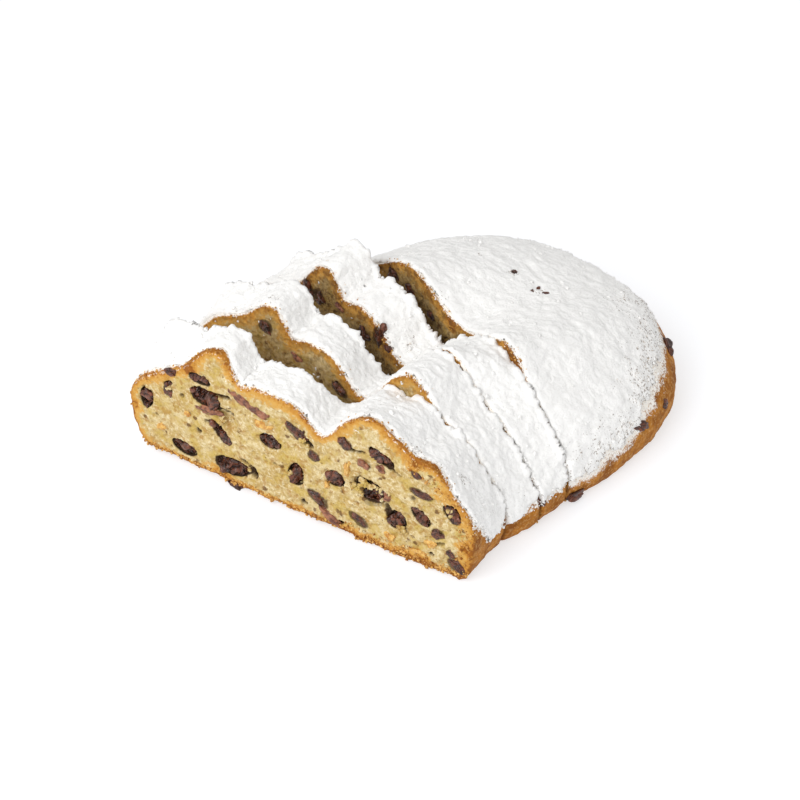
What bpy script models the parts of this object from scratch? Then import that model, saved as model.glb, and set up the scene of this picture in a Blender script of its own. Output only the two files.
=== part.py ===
"""A cut stollen: the uncut heel of the loaf and three slices fanned in front of it.

Frame: X across the loaf, Y along it towards the heel's round end, +Z up, metres.
The heel's cut lies across X.  The slices stand on the same surface, each turned a
little further round, their right ends nearly touching and their left ends spread.
Raisins show where the foremost cut passes through them; each fills its own pocket.
The origin is at the bottom centre of the whole.
"""
from collections import namedtuple
from math import cos, exp, pi, radians, sin

import bmesh
import bpy
from mathutils import Vector

# The loaf's full cross-section: a broad dome with the folded dough standing on it.
HALF_WIDTH = 0.075
CROWN_HEIGHT = 0.054
SIDE_HEIGHT = 0.022
LEFT_ROUNDNESS = 2.0
RIGHT_ROUNDNESS = 3.0
LEFT_TUCK = 0.010

# Folds across the section: distance from the middle, rise, spread.
SLICE_FOLDS = (
    (-0.0335, 0.0125, 0.0085),   # the high roll over the seam
    (-0.0225, -0.0060, 0.0030),  # the crease beside it
    (0.0345, 0.0090, 0.0085),    # the broad roll on the right
    (0.0590, 0.0035, 0.0045),    # the lip above the right side
)
HEEL_FOLDS = (
    (-0.0310, 0.0095, 0.0130),   # the roll over the seam, broader here
    (0.0020, -0.0045, 0.0110),   # the hollow between the rolls
    (0.0330, 0.0080, 0.0100),    # the broad roll on the right
)
VALLEY_SLOPE = 2.1               # the valley's depth for each metre of its spread
NO_VALLEY = 0.0001
SHOULDER_MIDDLE = -0.0600
SHOULDER_SPREAD = 0.0100

# A cut through the loaf: where its middle stands, how far it is turned and how far it
# bows back in the middle, its half-width and height against the full section, how much
# its left shoulder is filled out, how deep the valley before its right roll is and where
# it lies, and on its right side how far the top sags, how far the foot spreads outwards,
# and how far the base curls under.
Cut = namedtuple("Cut", "x y turn bow half_width height shoulder valley valley_at sag foot tuck")
SLICES = {
    "slice_1": (
        Cut(0.0104, -0.0809, 21.9, -0.0015, 0.0750, 1.000, 0.000, 0.0105, 0.0125, 0.000, 0.000, 0.006),
        Cut(0.0042, -0.0656, 24.0, -0.0008, 0.0750, 0.990, 0.015, 0.0120, 0.0100, 0.004, 0.000, 0.004),
    ),
    "slice_2": (
        Cut(-0.0012, -0.0529, 16.7, 0.0000, 0.0715, 0.978, 0.005, 0.0150, 0.0118, 0.008, 0.004, 0.002),
        Cut(-0.0062, -0.0392, 16.3, 0.0035, 0.0735, 0.960, 0.0100, 0.0180, 0.0098, 0.011, 0.008, 0.002),
    ),
    "slice_3": (
        Cut(-0.0089, -0.0253, 7.3, 0.0000, 0.0755, 0.925, -0.005, 0.0160, 0.0080, 0.012, 0.006, 0.003),
        Cut(-0.0109, -0.0090, 6.2, 0.0015, 0.0740, 0.945, 0.002, 0.0165, 0.0110, 0.012, 0.003, 0.003),
    ),
}
HEEL_CUT = Cut(0.0, 0.0, 0.0, 0.0000, 0.0695, 0.890, 0.001, NO_VALLEY, 0.0125, 0.010, 0.000, 0.004)

# On the right each slice's back lies against the next cut, a little lower than it, and
# lowest over the roll.
TOUCH_GAP = 0.0007
TOUCH_STARTS = {"slice_1": -0.003, "slice_2": 0.008, "slice_3": 0.009}
TOUCH_FULL = 0.025
TOUCH_DROP = 0.02                # as a share of the height
ROLL_MIDDLE = 0.032
ROLL_SPREAD = 0.0055
ROLL_DROPS = {"slice_1": 0.15, "slice_2": 0.02, "slice_3": 0.08}

# The heel rounds off to its end in plan and in height, drifting a little to the right,
# and its folds fade out.
HEEL_LENGTH = 0.087
HEEL_PLAN_ROUNDNESS = 2.5
HEEL_TOP_ROUNDNESS = 1.6
HEEL_DRIFT = 0.004
FOLDS_FADE = 0.032

# Raisins in the front cut of the foremost slice: across from its middle, height,
# length, width and tilt from level in degrees.
RAISINS = (
    (-0.0665, 0.0260, 0.0100, 0.0060, 88.0),
    (-0.0405, 0.0470, 0.0088, 0.0046, -4.0),
    (-0.0385, 0.0390, 0.0134, 0.0086, 4.0),
    (-0.0320, 0.0245, 0.0120, 0.0052, -43.0),
    (-0.0500, 0.0085, 0.0122, 0.0056, -9.0),
    (-0.0280, 0.0100, 0.0166, 0.0086, 4.0),
    (-0.0100, 0.0310, 0.0090, 0.0064, 8.0),
    (0.0010, 0.0200, 0.0104, 0.0068, 80.0),
    (0.0180, 0.0260, 0.0082, 0.0070, 60.0),
    (0.0330, 0.0270, 0.0134, 0.0094, -6.0),
    (0.0375, 0.0450, 0.0108, 0.0048, -24.0),
    (0.0437, 0.0178, 0.0088, 0.0078, 70.0),
    (0.0534, 0.0240, 0.0098, 0.0050, -42.0),
    (0.0660, 0.0310, 0.0088, 0.0058, -50.0),
)
RAISIN_DEPTH = 0.0040
GAP = 0.0003
CUTTER_PROUD = 0.0010

# Facets.
SECTION_STEPS = 72
SLICE_STEPS = 2
HEEL_STEPS = 13
RAISIN_SIDES = 12
RAISIN_STEPS = 3

# Colours, linear.
CRUST_COLOUR = (0.42, 0.21, 0.06, 1.0)
CRUMB_COLOUR = (0.66, 0.48, 0.21, 1.0)
RAISIN_COLOUR = (0.06, 0.03, 0.02, 1.0)


def clear_scene():
    for thing in list(bpy.data.objects):
        bpy.data.objects.remove(thing, do_unlink=True)


def bump(x, middle, spread):
    """A smooth bump of height one."""
    return exp(-0.5 * ((x - middle) / spread) ** 2)


def right_reach(x):
    """Nothing left of the right half's middle, rising to one at the right side."""
    return min(max(2.0 * x / HALF_WIDTH - 1.0, 0.0), 1.0)


def top_height(x, cut, folds, fold_depth):
    """Height of the loaf's top at x across the full section."""
    roundness = LEFT_ROUNDNESS if x < 0.0 else RIGHT_ROUNDNESS
    across = min(abs(x) / HALF_WIDTH, 1.0)
    dome = (1.0 - across ** roundness) ** 0.5
    relief = sum(rise * bump(x, middle, spread) for middle, rise, spread in folds)
    relief -= cut.valley * bump(x, cut.valley_at, cut.valley / VALLEY_SLOPE)
    relief *= fold_depth
    relief += cut.shoulder * bump(x, SHOULDER_MIDDLE, SHOULDER_SPREAD)
    rise = (CROWN_HEIGHT - SIDE_HEIGHT) * dome + relief * min(1.0, 2.0 * dome)
    return SIDE_HEIGHT + rise - cut.sag * right_reach(x)


def side_height(x, cut):
    """Height of the widest place of the side nearest to x."""
    return SIDE_HEIGHT - cut.sag * right_reach(x)


def base_height(x, cut):
    """Height of the underside at x: flat, and curling up to meet the sides."""
    tuck = LEFT_TUCK if x < 0.0 else cut.tuck
    reach = (abs(x) - (HALF_WIDTH - tuck)) / tuck
    reach = min(max(reach, 0.0), 1.0)
    return side_height(x, cut) * (1.0 - (1.0 - reach ** 2) ** 0.5)


def section(cut, folds, fold_depth=1.0):
    """The closed outline of a cut as (x, z), from the left side over the top and back."""
    places = [-HALF_WIDTH * cos(pi * step / SECTION_STEPS) for step in range(SECTION_STEPS + 1)]
    outline = [(x, top_height(x, cut, folds, fold_depth)) for x in places]
    outline += [(x, base_height(x, cut)) for x in reversed(places[1:-1])]
    width = cut.half_width / HALF_WIDTH
    return [(x * width + cut.foot * right_reach(x) ** 3, z * cut.height) for x, z in outline]


def on_cut(cut, x, z, depth=0.0):
    """The point x from a cut's middle, z above its base and depth behind it."""
    across = cos(radians(cut.turn))
    along = sin(radians(cut.turn))
    depth += cut.bow * (1.0 - (x / HALF_WIDTH) ** 2)
    return Vector((cut.x + x * across - depth * along, cut.y + x * along + depth * across, z))


def close_end(model, loop):
    """Close a ring by joining the points of its two halves straight across."""
    count = len(loop)
    for index in range(count // 2):
        corners = [loop[index], loop[index + 1], loop[count - index - 1]]
        if index > 0:
            corners.append(loop[count - index])
        if len(set(corners)) > 2:
            model.faces.new(dict.fromkeys(corners))


def add_body(name, rings, pole=None):
    """A closed body through rings of points, closed across or by a pole at the last one."""
    model = bmesh.new()
    loops = [[model.verts.new(point) for point in ring] for ring in rings]
    count = len(loops[0])
    for near, far in zip(loops, loops[1:]):
        for index in range(count):
            after = (index + 1) % count
            model.faces.new((near[index], far[index], far[after], near[after]))
    close_end(model, loops[0])
    if pole is None:
        close_end(model, loops[-1])
    else:
        tip = model.verts.new(pole)
        last = loops[-1]
        for index in range(count):
            model.faces.new((last[index], tip, last[(index + 1) % count]))
    bmesh.ops.recalc_face_normals(model, faces=model.faces)
    mesh = bpy.data.meshes.new(name)
    model.to_mesh(mesh)
    model.free()
    mesh.shade_smooth()
    mesh.set_sharp_from_angle(angle=radians(50))
    body = bpy.data.objects.new(name, mesh)
    bpy.context.scene.collection.objects.link(body)
    return body


def finish(body, name, colour, roughness):
    """Give a body its dull or faintly glossy surface."""
    material = bpy.data.materials.new(name)
    material.use_nodes = True
    shader = material.node_tree.nodes["Principled BSDF"]
    shader.inputs["Base Color"].default_value = colour
    shader.inputs["Roughness"].default_value = roughness
    shader.inputs["Metallic"].default_value = 0.0
    body.data.materials.append(material)


def touching(x, start):
    """Nothing where a slice's back stands free of the next cut, rising to one on the right."""
    share = min(max((x - start) / (TOUCH_FULL - start), 0.0), 1.0)
    return share * share * (3.0 - 2.0 * share)


def back_ring(back, following, following_folds, roll_drop, touch_start):
    """A slice's back: its own cut on the left, running over to lie against the next one."""
    ring = []
    own = section(back, SLICE_FOLDS)
    other = section(following, following_folds)
    for (x, z), (other_x, other_z) in zip(own, other):
        drop = TOUCH_DROP + roll_drop * bump(other_x, ROLL_MIDDLE, ROLL_SPREAD)
        free = on_cut(back, x, z)
        held = on_cut(following, other_x, other_z * (1.0 - drop), -TOUCH_GAP)
        ring.append(free.lerp(held, touching(x, touch_start)))
    return ring


def make_slice(name, following, following_folds):
    """One slice, lofted from its front cut to its back."""
    front, back = SLICES[name]
    near = [on_cut(front, x, z) for x, z in section(front, SLICE_FOLDS)]
    far = back_ring(back, following, following_folds, ROLL_DROPS[name], TOUCH_STARTS[name])
    rings = []
    for step in range(SLICE_STEPS + 1):
        share = step / SLICE_STEPS
        rings.append([start.lerp(end, share) for start, end in zip(near, far)])
    body = add_body(name, rings)
    finish(body, name + "_crumb", CRUMB_COLOUR, 0.80)
    return body


def make_heel():
    """The heel: the section shrinks along a rounded plan to a pole at the end."""
    rings = []
    for step in range(HEEL_STEPS):
        along = sin(0.5 * pi * step / HEEL_STEPS)
        narrow = (1.0 - along ** HEEL_PLAN_ROUNDNESS) ** (1.0 / HEEL_PLAN_ROUNDNESS)
        lower = (1.0 - along ** HEEL_TOP_ROUNDNESS) ** (1.0 / HEEL_TOP_ROUNDNESS)
        distance = along * HEEL_LENGTH
        ring = []
        for x, z in section(HEEL_CUT, HEEL_FOLDS, exp(-distance / FOLDS_FADE)):
            side = side_height(x, HEEL_CUT) * HEEL_CUT.height
            if z > side:
                z = side + (z - side) * lower
            ring.append(Vector((x * narrow + HEEL_DRIFT * along ** 2, distance, z)))
        rings.append(ring)
    pole = Vector((HEEL_DRIFT, HEEL_LENGTH, SIDE_HEIGHT * HEEL_CUT.height))
    body = add_body("heel", rings, pole)
    finish(body, "heel_crust", CRUST_COLOUR, 0.70)
    return body


def raisin_ring(place, cut, grow, share, depth):
    """One ring of a raisin's lumpy outline, share of its full size, depth behind the cut."""
    across, up, length, width, tilt = place
    ring = []
    for side in range(RAISIN_SIDES):
        angle = 2.0 * pi * side / RAISIN_SIDES
        lumps = 1.0 + 0.07 * sin(2.0 * angle + 900.0 * across) + 0.05 * sin(3.0 * angle + 700.0 * up)
        a = (length / 2 * lumps + grow) * share * cos(angle)
        b = (width / 2 * lumps + grow) * share * sin(angle)
        x = across + a * cos(radians(tilt)) - b * sin(radians(tilt))
        z = up + a * sin(radians(tilt)) + b * cos(radians(tilt))
        ring.append(on_cut(cut, x, z, depth))
    return ring


def raisin_shape(name, place, cut, grow, proud):
    """The half of a raisin behind the cut, or the pocket cutter that reaches before it."""
    deep = RAISIN_DEPTH + grow
    rings = [raisin_ring(place, cut, grow, 1.0, -proud)]
    if proud > 0.0:
        rings.append(raisin_ring(place, cut, grow, 1.0, grow))
    for step in range(1, RAISIN_STEPS):
        angle = 0.5 * pi * step / RAISIN_STEPS
        rings.append(raisin_ring(place, cut, grow, cos(angle), deep * sin(angle)))
    pole = on_cut(cut, place[0], place[1], deep)
    return add_body(name, rings, pole)


def make_raisins(bread, cut):
    """Raisins flush with a cut, each in a pocket that a Boolean takes out of the bread."""
    bodies = []
    for number, place in enumerate(RAISINS, start=1):
        raisin = raisin_shape(f"raisin_{number}", place, cut, 0.0, 0.0)
        finish(raisin, f"raisin_{number}_skin", RAISIN_COLOUR, 0.45)
        cutter = raisin_shape(f"pocket_{number}", place, cut, GAP, CUTTER_PROUD)
        cutter.hide_render = True
        cutter.display_type = "WIRE"
        pocket = bread.modifiers.new(f"pocket_{number}", "BOOLEAN")
        pocket.operation = "DIFFERENCE"
        pocket.solver = "EXACT"
        pocket.object = cutter
        bodies += [raisin, cutter]
    return bodies


def stand_on_origin(bread, others):
    """Hang everything on one empty that puts the bottom centre of the bread at the origin."""
    corners = [vertex.co for body in bread for vertex in body.data.vertices]
    low = Vector([min(corner[axis] for corner in corners) for axis in range(3)])
    high = Vector([max(corner[axis] for corner in corners) for axis in range(3)])
    base = bpy.data.objects.new("stollen", None)
    base.location = (-(low.x + high.x) / 2, -(low.y + high.y) / 2, -low.z)
    bpy.context.scene.collection.objects.link(base)
    for body in bread + others:
        body.parent = base


def main():
    clear_scene()
    bread = [
        make_heel(),
        make_slice("slice_1", SLICES["slice_2"][0], SLICE_FOLDS),
        make_slice("slice_2", SLICES["slice_3"][0], SLICE_FOLDS),
        make_slice("slice_3", HEEL_CUT, HEEL_FOLDS),
    ]
    raisins = make_raisins(bpy.data.objects["slice_1"], SLICES["slice_1"][0])
    stand_on_origin(bread, raisins)


main()
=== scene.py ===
"""How the cut stollen looks: its bread, icing sugar and fruit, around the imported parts."""
import math
import random

import bpy
import numpy as np
from mathutils import Euler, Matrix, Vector, noise
from mathutils.bvhtree import BVHTree


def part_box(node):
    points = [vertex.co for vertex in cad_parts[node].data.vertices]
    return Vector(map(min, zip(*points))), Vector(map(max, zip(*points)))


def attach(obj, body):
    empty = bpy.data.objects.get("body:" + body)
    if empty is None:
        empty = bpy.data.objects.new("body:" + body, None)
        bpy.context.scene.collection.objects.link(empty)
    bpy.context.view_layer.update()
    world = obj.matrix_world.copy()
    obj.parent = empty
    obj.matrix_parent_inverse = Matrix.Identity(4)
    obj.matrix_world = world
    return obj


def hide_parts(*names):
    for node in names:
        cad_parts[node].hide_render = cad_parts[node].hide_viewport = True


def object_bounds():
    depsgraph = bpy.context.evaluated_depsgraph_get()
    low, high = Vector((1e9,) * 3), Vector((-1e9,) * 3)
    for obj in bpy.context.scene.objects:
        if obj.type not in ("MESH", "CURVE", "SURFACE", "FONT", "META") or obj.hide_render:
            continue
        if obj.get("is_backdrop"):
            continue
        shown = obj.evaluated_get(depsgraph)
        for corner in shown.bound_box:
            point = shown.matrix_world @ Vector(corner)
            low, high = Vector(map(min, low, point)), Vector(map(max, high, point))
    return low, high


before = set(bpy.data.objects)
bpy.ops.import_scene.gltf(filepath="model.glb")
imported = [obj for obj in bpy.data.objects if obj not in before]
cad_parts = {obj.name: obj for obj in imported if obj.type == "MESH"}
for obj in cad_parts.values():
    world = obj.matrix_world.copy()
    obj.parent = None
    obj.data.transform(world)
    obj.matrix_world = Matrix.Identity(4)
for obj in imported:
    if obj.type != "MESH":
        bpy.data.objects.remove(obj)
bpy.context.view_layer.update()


# ---- The bread -----------------------------------------------------------------------
# The heel of the loaf and three slices: yeast dough rich in butter, folded over, baked
# free-standing and sawn when cold.  A thin golden crust closes all but the cuts, where
# the crumb lies open, a little torn, with hollows where the fruit has pulled away.

MM = 0.001
BREAD_GRID = {"slice_1": 0.60 * MM, "slice_2": 0.65 * MM, "slice_3": 0.65 * MM, "heel": 0.85 * MM}
COAT_DEPTH = 0.7 * MM            # the bread lies this far inside the outline under its sugar
CUT_LEAN = 0.85                  # a cut's normal lies at least this far along the loaf
CORNER_RADIUS = 1.4 * MM         # where the crust turns into a cut
POCKET_MARGIN = 0.6 * MM
BASE_STEP = 1.1 * MM             # the left part of the foremost cut's base is lifted by this
DEPTH_IN_LOAF = {"slice_1": 0.12, "slice_2": 0.7, "slice_3": 1.3, "heel": 1.3}  # painted shade of the gaps between the slices, and a wider rim
SUGAR_LOW_EDGE = 12.5 * MM       # the sugar ends about this high on the sides
HEEL_REAR_LIFT = 12.0 * MM       # and this much higher round the back of the heel
FRONT_CORNER_LIFT = 14.0 * MM    # and on the foremost slice's ends
FRONT_CORNER_RUN = 14.0 * MM     # which it fades out behind
EDGE_WAVE = 7 * MM               # the sugar's edge wanders in waves about this long
EDGE_TOOTH = 1.8 * MM            # and is ragged with teeth about this long
DUSTED_BELOW = {"slice_1": 3.5 * MM, "slice_2": 3.5 * MM, "slice_3": 3.5 * MM, "heel": 9.0 * MM}
PORE_SPACING = 3.0 * MM
PORE_DEPTH = 0.9

# Reliefs, each a sum of lumps: their height and size in millimetres, and their own seed.
CRUST_RELIEF = ((0.40, 11.0, 2), (0.15, 2.5, 3))
BASE_BULGE = 1.2                 # near the base the crust bulges by this share more
BASE_WAVE = 13 * MM              # the base's rim lifts off the table in waves this long
BASE_WAVE_LIFT = 1.5 * MM        # and by up to about this much
TORN_RELIEF = ((0.22, 1.7, 4), (0.30, 5.0, 5))

# Bare crust in front of the sugar along the foremost cut: across, width, in millimetres.
BARE_ACROSS = (
    -75.0, -62.0, -48.0, -40.0, -31.0, -22.0, -8.0, 8.0, 18.0, 24.0, 33.0, 42.0, 54.0, 61.0, 66.0, 75.0,
)
BARE_WIDTH = (2.6, 1.6, 1.8, 3.6, 3.4, 0.9, 1.0, 1.6, 0.5, 1.6, 3.6, 1.6, 4.2, 3.0, 0.8, 2.2)

# On the inner cuts the crust is bare only where a gap lies open: from and to, across, mm.
OPEN_GAPS = {"slice_2": (-58.0, 12.0), "slice_3": (-46.0, 4.0), "heel": (-46.0, 2.0)}
INNER_MARGIN = {"slice_2": 0.25, "slice_3": 0.25, "heel": 0.5}
# Single bare patches on them: across, half the patch's width, and how wide the crust is bare.
BARE_PATCHES = (("slice_2", 33.0, 6.0, 0.8), ("heel", 34.0, 7.0, 0.8))

# Hollows in the foremost cut: across from its middle, height, half-length, half-width,
# tilt in degrees, depth, all in millimetres, and how dark the painted shade in them is.
HOLLOWS = (
    (-29.5, 33.0, 5.0, 3.0, 0.0, 1.8, 0.0),
    (-33.6, 36.6, 3.6, 0.8, 14.0, 3.0, 1.0),
    (-27.6, 36.8, 1.8, 0.8, -20.0, 2.6, 1.0),
    (-18.2, 12.0, 1.6, 2.6, 20.0, 3.6, 1.0),
    (-22.0, 15.6, 1.8, 0.9, -20.0, 2.4, 0.9),
    (-42.5, 21.2, 1.1, 1.1, 0.0, 2.6, 1.0),
    (-38.2, 27.8, 0.9, 0.8, 0.0, 1.4, 0.8),
    (-49.2, 35.0, 0.8, 0.9, 0.0, 1.2, 0.7),
    (-55.2, 38.4, 2.0, 0.9, 30.0, 1.6, 0.9),
    (-32.0, 43.0, 5.0, 0.8, 6.0, 1.8, 0.9),
    (6.3, 38.6, 2.8, 1.2, -30.0, 2.4, 1.0),
    (26.0, 43.6, 4.4, 0.6, 10.0, 2.0, 1.0),
    (42.0, 41.4, 3.2, 0.6, -24.0, 2.0, 0.8),
    (30.5, 28.8, 4.6, 2.4, 0.0, 1.8, 0.1),
    (4.2, 7.6, 1.3, 0.9, 0.0, 2.2, 1.0),
    (19.6, 4.6, 1.6, 1.0, 40.0, 2.2, 1.0),
    (40.4, 20.6, 1.2, 3.4, 10.0, 1.6, 0.8),
    (58.0, 8.0, 0.9, 0.7, 0.0, 1.8, 0.9),
    (61.5, 14.6, 1.9, 0.7, 30.0, 1.2, 0.6),
    (50.2, 31.4, 0.8, 0.7, 0.0, 1.2, 0.7),
    (-8.0, 21.0, 0.9, 0.7, 0.0, 1.2, 0.6),
    (-62.0, 20.0, 0.8, 0.7, 0.0, 1.2, 0.6),
)

# Fruit cut through besides the large raisins: the bread it is in, its kind, across from
# the middle of that bread's front cut, height, half-length and half-width in millimetres,
# and its tilt in degrees.
CUT_FRUIT = (
    ("slice_1", "raisin", -55.4, 35.2, 2.9, 1.8, 80.0),
    ("slice_1", "raisin", -53.2, 44.6, 2.3, 1.3, 10.0),
    ("slice_1", "raisin", 2.2, 41.2, 4.6, 2.2, -32.0),
    ("slice_1", "raisin", 9.3, 33.1, 2.4, 2.2, 10.0),
    ("slice_1", "raisin", 10.4, 12.8, 4.6, 2.5, -34.0),
    ("slice_1", "raisin", 27.6, 10.6, 4.2, 2.2, -26.0),
    ("slice_1", "raisin", 22.6, 45.4, 2.9, 2.2, -20.0),
    ("slice_1", "raisin", 53.5, 35.4, 4.2, 1.9, -10.0),
    ("slice_1", "raisin", 51.4, 44.0, 2.2, 1.2, -30.0),
    ("slice_1", "raisin", 60.6, 19.5, 2.2, 2.2, 60.0),
    ("slice_1", "raisin", 65.7, 11.8, 1.5, 1.3, 0.0),
    ("slice_1", "raisin", 68.0, 6.6, 3.6, 2.2, -35.0),
    ("slice_1", "raisin", -27.0, 1.2, 2.8, 1.2, -8.0),
    ("slice_1", "skin", 30.5, 39.3, 2.8, 2.2, 10.0),
    ("slice_1", "skin", 37.0, 40.2, 1.9, 1.3, -40.0),
    ("slice_1", "skin", -22.4, 46.4, 4.6, 1.5, -24.0),
    ("slice_1", "skin", -14.4, 43.4, 4.6, 1.7, -12.0),
    ("slice_1", "skin", 15.0, 6.8, 4.8, 1.4, -30.0),
    ("slice_1", "skin", -37.0, 33.6, 5.4, 1.5, 6.0),
    ("slice_1", "skin", 31.8, 24.6, 4.8, 1.3, -10.0),
    ("slice_1", "skin", 35.6, 23.2, 5.4, 1.9, 28.0),
    ("slice_1", "skin", 38.6, 27.4, 1.6, 2.6, 0.0),
    ("slice_1", "peel", -60.0, 14.7, 1.7, 1.4, 0.0),
    ("slice_1", "peel", -11.2, 38.4, 3.8, 2.0, 0.0),
    ("slice_1", "peel", 23.3, 33.9, 3.8, 1.4, 84.0),
    ("slice_1", "peel", 57.4, 12.8, 2.0, 1.4, 10.0),
    ("slice_1", "peel", 40.7, 8.3, 2.2, 1.6, -10.0),
    ("slice_1", "peel", -46.8, 27.4, 1.3, 1.0, 0.0),
    ("slice_1", "peel", 14.6, 21.6, 1.1, 1.5, 0.0),
    ("slice_1", "peel", 53.0, 7.0, 3.0, 0.8, 0.0),
    ("slice_2", "raisin", -35.8, 50.6, 3.2, 2.8, 40.0),
    ("slice_2", "raisin", -1.3, 37.2, 3.6, 2.6, -20.0),
    ("slice_2", "skin", -21.0, 43.0, 2.6, 1.8, 0.0),
    ("slice_3", "raisin", -46.0, 43.0, 3.8, 2.6, -40.0),
    ("slice_3", "raisin", -40.5, 41.5, 3.2, 3.0, 20.0),
    ("slice_3", "raisin", -15.3, 37.6, 2.8, 2.8, 0.0),
    ("slice_3", "raisin", -7.0, 41.8, 4.6, 2.5, 80.0),
    ("slice_3", "raisin", -2.1, 38.3, 1.6, 1.3, 0.0),
    ("slice_3", "skin", -28.0, 43.0, 2.4, 1.6, -20.0),
    ("heel", "raisin", -38.1, 43.2, 3.0, 2.4, 10.0),
    ("heel", "raisin", -27.2, 42.5, 2.6, 2.2, -20.0),
    ("heel", "raisin", -14.0, 38.5, 2.2, 1.8, 0.0),
)

# Where sugar, butter or peel has browned the crumb of a front cut: the bread, across,
# height and radius in millimetres.
GOLDEN_SPOTS = (
    ("slice_1", -37.0, 6.6, 6.0), ("slice_1", -31.0, 4.0, 4.0), ("slice_1", 66.0, 9.0, 5.0),
    ("slice_1", 50.0, 46.0, 6.0), ("slice_1", 58.0, 38.0, 7.0), ("slice_1", 66.0, 28.0, 7.0),
    ("slice_1", 70.0, 17.0, 6.0), ("slice_1", 40.7, 7.0, 5.0), ("slice_1", 55.0, 6.0, 6.0),
    ("slice_1", -70.0, 20.0, 4.0), ("slice_1", -44.0, 50.0, 4.0),
    ("heel", -2.1, 41.3, 4.5), ("heel", 36.3, 49.0, 7.0),
)


def deselect():
    bpy.ops.object.select_all(action="DESELECT")


def take_up(piece):
    """Make a piece the only one selected and the active one."""
    deselect()
    piece.select_set(True)
    bpy.context.view_layer.objects.active = piece


def copy_of(node, name):
    """A piece with a copy of a CAD node's mesh, its doubles merged."""
    piece = bpy.data.objects.new(name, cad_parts[node].data.copy())
    bpy.context.scene.collection.objects.link(piece)
    piece.data.materials.clear()
    take_up(piece)
    bpy.ops.object.mode_set(mode="EDIT")
    bpy.ops.mesh.select_all(action="SELECT")
    bpy.ops.mesh.remove_doubles(threshold=0.01 * MM)
    bpy.ops.object.mode_set(mode="OBJECT")
    return piece


def work(piece, kind, **settings):
    """Put a modifier on a piece and apply it."""
    take_up(piece)
    modifier = piece.modifiers.new(kind.lower(), kind)
    for name, value in settings.items():
        setattr(modifier, name, value)
    bpy.ops.object.modifier_apply(modifier=modifier.name)


def read(piece, what):
    """The places or normals of a piece's vertices, one row each."""
    values = np.zeros(len(piece.data.vertices) * 3)
    piece.data.vertices.foreach_get(what, values)
    return values.reshape(-1, 3)


def move_to(piece, places):
    piece.data.vertices.foreach_set("co", places.ravel())
    piece.data.update()


def paint(piece, name, values):
    """Keep one number for each vertex, which the piece's material reads."""
    layer = piece.data.attributes.new(name, "FLOAT", "POINT")
    layer.data.foreach_set("value", np.asarray(values, np.float32))


def ease(values, low, high):
    """Rise smoothly from nothing at low to one at high."""
    share = np.clip((values - low) / (high - low), 0.0, 1.0)
    return share * share * (3.0 - 2.0 * share)


def lumps(places, size, seed):
    """Smooth random heights of about -1 to 1, in lumps of that size."""
    start = Vector((1.7, 5.3, 9.1)) * seed
    return 1.4 * np.array([noise.noise(Vector(place) / size + start) for place in places])


def relief(places, layers, seed):
    """The heights that the layers of lumps add up to, in millimetres."""
    return sum(height * lumps(places, size * MM, seed + own) for height, size, own in layers)


def pores(places, size, seed):
    """Round pits of depth 0 to 1 about that far apart, where bubbles were cut open."""
    start = Vector((4.1, 2.3, 7.7)) * seed
    nearest_cell = [noise.voronoi(Vector(place) / size + start)[0][0] for place in places]
    return 1.0 - ease(np.array(nearest_cell), 0.10, 0.36)


def tree_of(mesh, keep):
    """The faces of a mesh that keep picks, ready for measuring distances to them."""
    faces = [tuple(face.vertices) for face in mesh.polygons if keep(face)]
    return BVHTree.FromPolygons([vertex.co for vertex in mesh.vertices], faces)


def nearest(tree, places):
    """How far each place is from a tree's faces, and which way the nearest face looks."""
    found = [tree.find_nearest(Vector(place)) for place in places]
    far = np.array([1.0 if hit[3] is None else hit[3] for hit in found])
    facing = np.array([(0.0, 0.0, 0.0) if hit[1] is None else tuple(hit[1]) for hit in found])
    return far, facing


RAISIN_NODES = sorted(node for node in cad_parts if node.startswith("raisin"))
RAISIN_BOXES = [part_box(node) for node in RAISIN_NODES]


def in_pocket(place):
    """True inside a raisin's pocket."""
    for low, high in RAISIN_BOXES:
        if all(low[i] - POCKET_MARGIN < place[i] < high[i] + POCKET_MARGIN for i in range(3)):
            return True
    return False


def is_front_cut(face):
    return face.normal.y < -CUT_LEAN


def is_back_cut(face):
    return face.normal.y > CUT_LEAN


def is_crust(face, node):
    """True for a face of the crust: neither a cut nor the inside of a raisin's pocket."""
    if is_front_cut(face) or (node != "heel" and is_back_cut(face)):
        return False
    return node != "slice_1" or not in_pocket(face.center)


class CutFace:
    """A front cut's own measure: across from its middle, and up from the base."""

    def __init__(self, node):
        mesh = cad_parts[node].data
        faces = [face for face in mesh.polygons if is_front_cut(face)]
        area = sum(face.area for face in faces)
        self.facing = sum((face.normal * face.area for face in faces), Vector()) / area
        self.facing.z = 0.0
        self.facing.normalize()
        self.across = Vector((-self.facing.y, self.facing.x, 0.0))
        corners = [mesh.vertices[index].co for face in faces for index in face.vertices]
        reach = [corner.dot(self.across) for corner in corners]
        depth = sum(corner.dot(self.facing) for corner in corners) / len(corners)
        self.middle = self.across * (min(reach) + max(reach)) / 2 + self.facing * depth
        self.tree = tree_of(mesh, is_front_cut)

    def place(self, across, up):
        """The point on the cut at a distance across and a height, in millimetres."""
        wanted = self.middle + self.across * across * MM + Vector((0.0, 0.0, up * MM))
        return self.tree.find_nearest(wanted)[0]

    def over(self, across, up, proud):
        """The point that far in front of the cut, whether or not a pocket opens there."""
        wanted = self.middle + self.across * across * MM + Vector((0.0, 0.0, up * MM))
        depth = (self.place(across, up) - wanted).dot(self.facing)
        return wanted + self.facing * (depth + proud * MM)

    def spread(self, places):
        """How far across and up each place is, in millimetres."""
        return (places - np.array(self.middle)) @ np.array(self.across) / MM, places[:, 2] / MM


cuts = {node: CutFace(node) for node in BREAD_GRID}


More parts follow.
